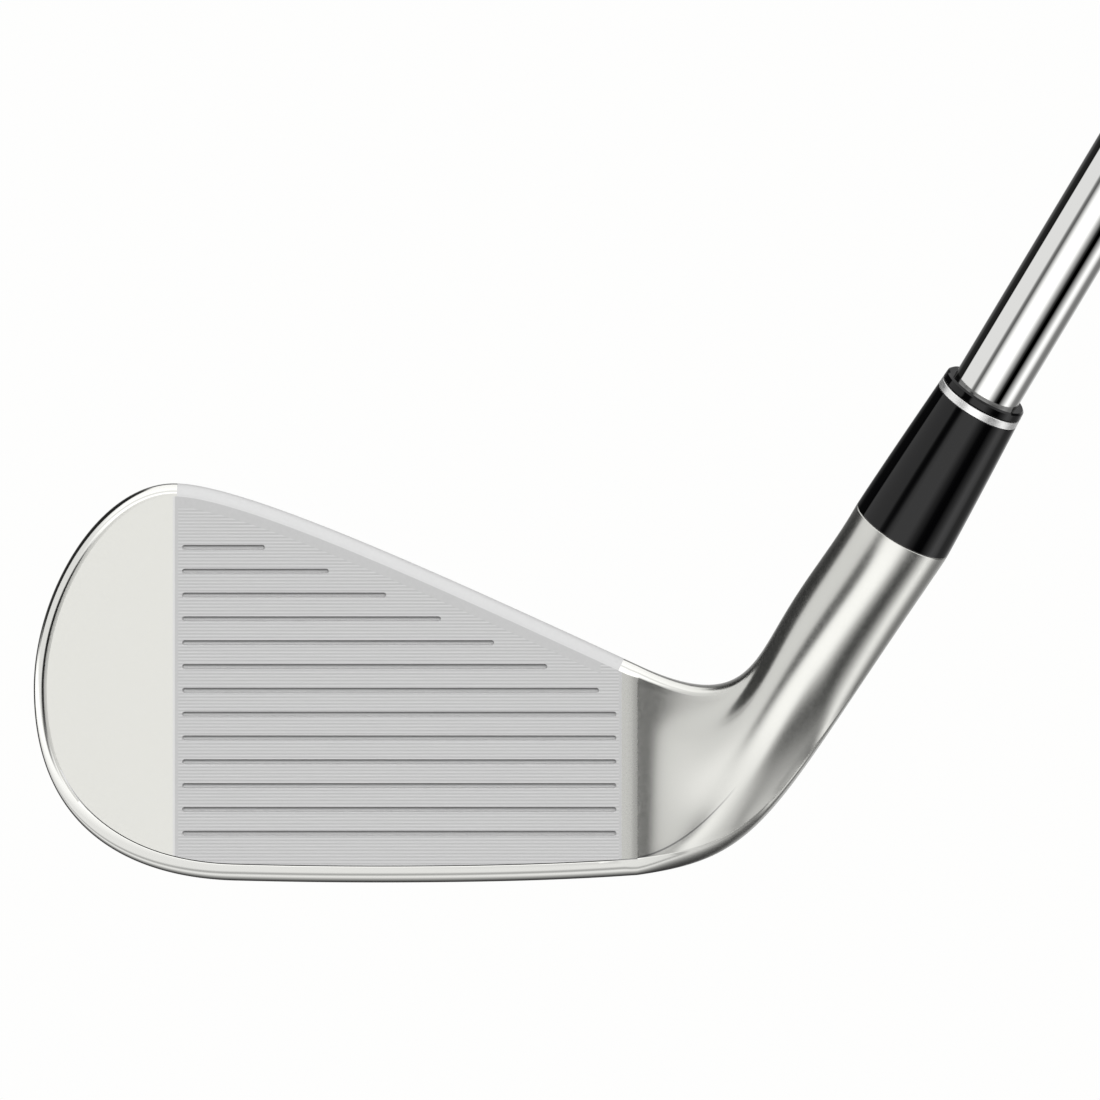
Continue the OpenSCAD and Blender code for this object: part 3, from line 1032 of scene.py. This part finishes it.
def face_slot(c, milling):
    """Finish of the face at c; above the milling line it is plain."""
    if c.x < ZONE_TOE_X - HIGHLIGHT_LINE_WIDTH:
        return PLATE_TOE
    # A thin strip at the milling's toe edge carries the painted highlight.
    if c.x < ZONE_TOE_X:
        return PLATE_HIGHLIGHT_LINE
    if c.x > ZONE_HEEL_X:
        return PLATE_HEEL
    if c.x < ZONE_TOE_X + PLAIN_TOE or c.x > ZONE_HEEL_X - PLAIN_HEEL:
        return PLATE_PLAIN
    for a, b in zip(milling, milling[1:]):
        if a.x <= c.x <= b.x and c.y > lerp(a.y, b.y, (c.x - a.x) / (b.x - a.x)):
            return PLATE_PLAIN
    return PLATE_MILLED


# ------------------------ back layers
def layer_mesh(name, inset, w_low, w_high, bevel, material):
    """A sheet in the cavity with a rounded outer edge; w_low faces the back."""
    shell = Shell()
    loop = cavity_outline(inset)
    base = resample(loop + loop[:1], LAYER_STEPS)[:-1]
    rows = [(0.0, w_high), (0.0, w_low + bevel)]
    rows += [(bevel * (1 - math.cos(a)), w_low + bevel * (1 - math.sin(a)))
             for a in (math.radians(22.5 * i) for i in range(1, 5))]
    ring = None
    for shift, w in rows:
        line = [p + (CENTRE - p).normalized() * shift for p in base]
        row = [shell.add(face_point(q.x, q.y, w)) for q in line]
        if ring:
            shell.strip(ring, row, 0, closed=True)
        else:
            shell.cap(row)
        ring = row
    shell.cap(ring)
    return make_mesh(name, shell, [material], sharp=35)


# ------------------------ turned pieces
def turned(name, profile, material, around=128, sharp=30, relief=None):
    """A closed piece turned about the shaft's axis from (t, r) points; relief adds to the radius."""
    shell = Shell()
    uv = []
    rings = []
    for i, (t, r) in enumerate(profile):
        ring = []
        for k in range(around):
            a = 2 * math.pi * k / around
            radius = r + relief(i, t, a) if relief else r
            ring.append(shell.add(shaft_point(t, radius, a)))
            uv.append((radius * a, t))
        rings.append(ring)
    for a, b in zip(rings, rings[1:] + rings[:1]):
        shell.strip(a, b, 0, closed=True)
    return make_mesh(name, shell, [material], uv=uv, sharp=sharp)


def rounded(profile, radius, steps=4):
    """Rounds each corner of a closed profile by up to radius."""
    result = []
    n = len(profile)
    for i in range(n):
        before = Vector(profile[i - 1])
        corner = Vector(profile[i])
        after = Vector(profile[(i + 1) % n])
        r = min(radius, (before - corner).length * 0.4, (after - corner).length * 0.4)
        a = corner + (before - corner).normalized() * r
        b = corner + (after - corner).normalized() * r
        result += [tuple(bezier([a, corner, b], k / steps)) for k in range(steps + 1)]
    return result


TIP_R = 4.7
BUTT_R = 7.62
STEP_COUNT = 13
STEP_PITCH = 38.1
FIRST_STEP = 244.0
SHOULDER = 1.0
WALL_TIP = 0.75
WALL_BUTT = 0.3
SHAFT_TIP = 32.0
CLUB = 978.0
GRIP = 267.0
SLEEVE_END = CLUB - 4
FERRULE = 22.5
FERRULE_TOP_R = 5.8
RING = 1.05
CAP = 1.35


def step_r(i):
    return lerp(TIP_R, BUTT_R, i / STEP_COUNT)


def step_t(i):
    return FIRST_STEP + (i - 1) * STEP_PITCH


def wall(i):
    """The tube's wall grows thinner from the tip to the butt."""
    return lerp(WALL_TIP, WALL_BUTT, i / STEP_COUNT)


def shaft_profile():
    """Outside and inside of the stepped tube: each step is a short rounded shoulder."""
    outer = [(SHAFT_TIP, TIP_R)]
    for i in range(1, STEP_COUNT + 1):
        a = step_r(i - 1)
        b = step_r(i)
        outer += [(step_t(i) + SHOULDER * k / 6, lerp(a, b, smooth(k / 6))) for k in range(7)]
    outer.append((SLEEVE_END, BUTT_R))
    inner = [(SLEEVE_END, BUTT_R - WALL_BUTT)]
    for i in range(STEP_COUNT, 0, -1):
        inner.append((step_t(i) + SHOULDER, step_r(i) - wall(i)))
        inner.append((step_t(i), step_r(i - 1) - wall(i - 1)))
    inner.append((SHAFT_TIP, TIP_R - WALL_TIP))
    return outer + inner


def ferrule_r(t):
    return lerp(HOSEL_R, FERRULE_TOP_R, ((t - HOSEL_TOP) / FERRULE) ** 1.15)


def ferrule_profile(t0, t1, edge, pieces):
    """Cross-section of one ferrule piece with eased outer edges."""
    heights = [lerp(t0, t1, i / pieces) for i in range(1, pieces)]
    side = [(t0, ferrule_r(t0) - edge), (t0 + edge, ferrule_r(t0))]
    side += [(t, ferrule_r(t)) for t in heights]
    side += [(t1 - edge, ferrule_r(t1)), (t1, ferrule_r(t1) - edge)]
    return side + [(t1, TIP_R), (t0, TIP_R)]


# Grip: a rubber sleeve with moulded bands of fine ridges.
GRIP_MOUTH = CLUB - GRIP
GRIP_MOUTH_R = 9.2
GRIP_BUTT_R = 13.8
GRIP_ROWS = 560
GRIP_AROUND = 240
TAPE = 0.25
BAND_PITCH = 62.0
BAND = 7.0
RIB_PITCH = 1.75
RIB = 0.8
RIB_DEPTH = 0.35
LOZENGES_AROUND = 20
LOZENGE = 5.2
LOZENGE_DEPTH = 0.3


def grip_r(u):
    return lerp(GRIP_MOUTH_R, GRIP_BUTT_R, 0.62 * u + 0.38 * u ** 6)


def grip_relief(u, t, a):
    """Depth of the moulded pattern: slanting lozenges, with bands of plain ribs between them."""
    if u < 0.05 or u > 0.93:
        return 0.0
    band = (t - GRIP_MOUTH) % BAND_PITCH
    if band < BAND:
        return -RIB_DEPTH if band % RIB_PITCH < RIB else 0.0
    turn = a / (2 * math.pi) * LOZENGES_AROUND
    one = math.sin(2 * math.pi * (turn + t / LOZENGE))
    two = math.sin(2 * math.pi * (turn - t / LOZENGE))
    return -LOZENGE_DEPTH * smooth((max(one, two) - 0.82) / 0.12)


def grip_mesh(material):
    span = SLEEVE_END - GRIP_MOUTH
    lip = 0.6
    outer = [(GRIP_MOUTH, GRIP_MOUTH_R - lip), (GRIP_MOUTH + 0.2, GRIP_MOUTH_R - 0.15)]
    for i in range(GRIP_ROWS + 1):
        u = i / GRIP_ROWS
        outer.append((GRIP_MOUTH + lip + (span - lip) * u, grip_r(u)))
    last = len(outer)
    tape = BUTT_R + TAPE
    inner = [(SLEEVE_END, tape), (GRIP_MOUTH + 4, tape), (GRIP_MOUTH + 4, BUTT_R), (GRIP_MOUTH, BUTT_R)]

    def relief(i, t, a):
        return grip_relief((t - GRIP_MOUTH) / span, t, a) if i < last else 0.0

    return turned("grip_rubber", outer + inner, material, GRIP_AROUND, sharp=60, relief=relief)


# ------------------------ build the club
satin = satin_chrome("satin_chrome")
satin_seam_shaded = satin_chrome("satin_with_painted_seam_shade", seam=True)
polished = polished_rim()
blasted = blasted_bevel()
toe_satin = smooth_face()
head = head_mesh([satin, polished, blasted, toe_satin, satin_seam_shaded, seam_line_painted_shade()])
stand_for(head, "head_body")

plate_finishes = [toe_satin, milled_face(), plain_milled(), bevel_highlight_line(), groove_steel_painted_shade(), heel_strip()]
stand_for(face_plate_mesh(plate_finishes), "face_plate")

# Behind the plate lie the tape, the damper on it and the badge on that; w of each layer's faces.
TAPE_BACK = -PLATE - 0.3
PAD_BACK = -PLATE - 1.7
BADGE_BACK = -PLATE - 2.5
pad = layer_mesh("damper_rubber", 0.8, PAD_BACK, TAPE_BACK, 0.5, rubber("damper_black", 0.01))
stand_for(pad, "damper_pad")
badge = layer_mesh("badge_alloy", 1.8, BADGE_BACK, PAD_BACK, 0.35, badge_metal())
stand_for(badge, "badge_plate")

stand_for(turned("shaft_chrome", shaft_profile(), mirror_chrome()), "shaft")

ring_t = HOSEL_TOP + FERRULE - CAP - RING
cap_t = ring_t + RING
top_t = cap_t + CAP
black = ferrule_black()
stand_for(turned("ferrule_cone", ferrule_profile(HOSEL_TOP, ring_t, 0.08, 24), black), "ferrule_body")
stand_for(turned("ferrule_band", ferrule_profile(ring_t, cap_t, 0.05, 2), ring_metal()), "ferrule_ring")
stand_for(turned("ferrule_collar", ferrule_profile(cap_t, top_t, 0.25, 3), black), "ferrule_cap")

grip_black = rubber("grip_black")
stand_for(grip_mesh(grip_black), "grip_sleeve")
VENT_R = 1.5
cap_profile = [(SLEEVE_END, VENT_R), (SLEEVE_END, GRIP_BUTT_R), (CLUB - 1, GRIP_BUTT_R),
               (CLUB, GRIP_BUTT_R - 1), (CLUB, 10.6), (CLUB - 0.5, 10.2), (CLUB - 0.5, 8.4),
               (CLUB, 8.0), (CLUB, VENT_R)]
stand_for(turned("grip_end", rounded(cap_profile, 0.8), grip_black), "grip_cap")

# Pieces whose CAD shape is right keep it and get their own finish.
finishes = {
    "toe_weight": plain_finish("tungsten_grey", grey(0.14), 0.45, metallic=1.0),
    "tip_weight": plain_finish("turned_brass", (0.62, 0.42, 0.16, 1), 0.3, metallic=1.0),
    "badge_tape": plain_finish("tape_foam", grey(0.6), 0.8),
    "hosel_epoxy": plain_finish("cured_glue", (0.5, 0.42, 0.24, 1), 0.4),
    "shaft_label": label_film(),
    "grip_tape": plain_finish("grip_tape_paper", (0.65, 0.6, 0.45, 1), 0.8),
}
for node, material in finishes.items():
    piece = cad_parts[node]
    piece.data.materials.clear()
    piece.data.materials.append(material)

# ------------------------ studio
AIM = face_point(20.13, 44.4)
DISTANCE = 5000.0
FIELD = 146.7
SENSOR = 36
camera_data = bpy.data.cameras.new("camera")
camera = bpy.data.objects.new("camera", camera_data)
bpy.context.scene.collection.objects.link(camera)
camera.location = (AIM + DISTANCE * FACE_W) * MM
camera.rotation_euler = (-FACE_W).to_track_quat("-Z", "Y").to_euler()
camera_data.sensor_width = SENSOR
camera_data.lens = SENSOR * DISTANCE / FIELD
camera_data.clip_end = 200
bpy.context.scene.camera = camera

# The studio is rings of soft strips, each an (angle in degrees, brightness) pair.
# Round the shaft, from the side the face looks to and towards the heel:
AROUND = [(-180, 0.6), (-157, 0.15), (-134, 0.05), (-118, 0.02), (-103, 0.01), (-101, 0.95), (-48, 0.95),
          (-42, 0.27), (-35, 0.12), (-29, 0.6), (-22, 1.15), (-15, 1.5), (17, 1.5), (24, 1.05), (30, 0.6),
          (37, 0.3), (43, 0.05), (50, 0.0), (60, 0.0), (65, 0.2), (75, 0.65), (85, 1.25), (90, 1.45),
          (100, 1.05), (112, 0.35), (123, 0.23), (140, 0.26), (160, 0.65), (180, 0.6)]
# Under the club, from the face's front down and back:
BELOW = [(0, 1.5), (30, 1.2), (45, 1.0), (70, 1.0), (78, 0.5), (84, 0.5), (92, 1.05), (98, 1.0),
         (104, 0.82), (112, 0.51), (122, 0.33), (132, 0.15), (145, 0.05), (180, 0.05)]
# How far the front light reaches round towards the toe.
TOE_SHARE = 0.75
# Over the club, from the face's front up and back:
ABOVE = [(0, 1.5), (40, 1.5), (52, 0.9), (62, 1.4), (128, 1.2), (138, 0.05), (180, 0.05)]
# A dark card towards the toe, seen in the crease between face and neck.
CARD = (-0.60 * FACE_X + 0.12 * FACE_V + 0.79 * FACE_W).normalized()
# A second one up beside the toe, seen in its rolled edge.
TOE_CARD = (-0.60 * FACE_X + 0.62 * FACE_V - 0.50 * FACE_W).normalized()
CARD_LEVEL = (0.02, 0.02, 0.02, 1)
BACKDROP = (0.99, 0.99, 0.985, 1)
FLOOR_REACH = 4.0
FLOOR_Z = -0.0005


class Studio(Tree):
    """The world: strips, cards and the pale backdrop that only the camera sees."""

    def along(self, axis):
        """How far the seen direction runs along an axis."""
        direction = {0: self.direction, 1: axis}
        return self.add("ShaderNodeVectorMath", direction, operation="DOT_PRODUCT").outputs["Value"]

    def ring(self, side, front, strips):
        """Brightness by the angle from front towards side."""
        angle = self.add("ShaderNodeMath", {0: side, 1: front}, operation="ARCTAN2")
        start = strips[0][0]
        span = strips[-1][0] - start
        inputs = {"Value": angle, "From Min": math.radians(start), "From Max": math.pi}
        node = self.add("ShaderNodeValToRGB", {0: self.add("ShaderNodeMapRange", inputs)})
        stops = node.color_ramp.elements
        for degrees, level in strips:
            where = (degrees - start) / span
            stop = stops[0] if where == 0 else stops[-1] if where == 1 else stops.new(where)
            stop.position = where
            stop.color = (level, level, level, 1)
        return node

    def faded(self, value, start, full):
        inputs = {"Value": value, "From Min": start, "From Max": full}
        return self.add("ShaderNodeMapRange", inputs, interpolation_type="SMOOTHSTEP")

    def strips(self):
        """The three rings blended by height along the shaft."""
        up_shaft = self.along(SHAFT)
        down = self.add("ShaderNodeMath", {0: self.along(FACE_V)}, operation="ABSOLUTE")
        light = self.ring(self.along(SHAFT_SIDE), self.along(SHAFT_FRONT), AROUND)
        toeward = self.add("ShaderNodeMath", {0: self.along(-FACE_X), 1: 0.0}, operation="MAXIMUM")
        inputs = {0: toeward, 1: TOE_SHARE, 2: self.along(FACE_W)}
        forward = self.add("ShaderNodeMath", inputs, operation="MULTIPLY_ADD")
        light = self.mix(self.faded(up_shaft, -0.35, -0.5), light, self.ring(down, forward, BELOW))
        above = self.faded(up_shaft, 0.15, 0.4)
        return self.mix(above, light, self.ring(self.along(FACE_V), self.along(FACE_W), ABOVE))

    def build(self):
        self.direction = self.add("ShaderNodeTexCoord").outputs["Generated"]
        light = self.strips()
        light = self.mix(self.faded(self.along(CARD), 0.958, 0.984), light, CARD_LEVEL)
        light = self.mix(self.faded(self.along(TOE_CARD), 0.9, 0.95), light, CARD_LEVEL)
        lit = self.add("ShaderNodeBackground", {0: light})
        white = self.add("ShaderNodeBackground", {0: BACKDROP})
        seen = self.add("ShaderNodeLightPath").outputs["Is Camera Ray"]
        mixed = self.add("ShaderNodeMixShader", {0: seen, 1: lit, 2: white})
        self.plug(mixed, self.tree.nodes["World Output"].inputs[0])


def pale_floor():
    mesh = bpy.data.meshes.new("floor")
    corners = [(FLOOR_REACH * x, FLOOR_REACH * y, 0) for x, y in ((-1, -1), (1, -1), (1, 1), (-1, 1))]
    mesh.from_pydata(corners, [], [(0, 1, 2, 3)])
    material = bpy.data.materials.new("floor_white")
    tree = Tree(material)
    tree.tree.nodes.clear()
    glow = tree.add("ShaderNodeEmission", {0: BACKDROP})
    tree.add("ShaderNodeOutputMaterial", {0: glow})
    mesh.materials.append(material)
    floor = bpy.data.objects.new("floor", mesh)
    bpy.context.scene.collection.objects.link(floor)
    floor.location.z = FLOOR_Z
    floor.visible_glossy = False
    floor.visible_diffuse = False
    floor.visible_shadow = False


world = bpy.data.worlds.new("studio")
bpy.context.scene.world = world
Studio(world).build()
pale_floor()
bpy.context.scene.view_settings.view_transform = "Standard"
bpy.context.scene.view_settings.look = "None"

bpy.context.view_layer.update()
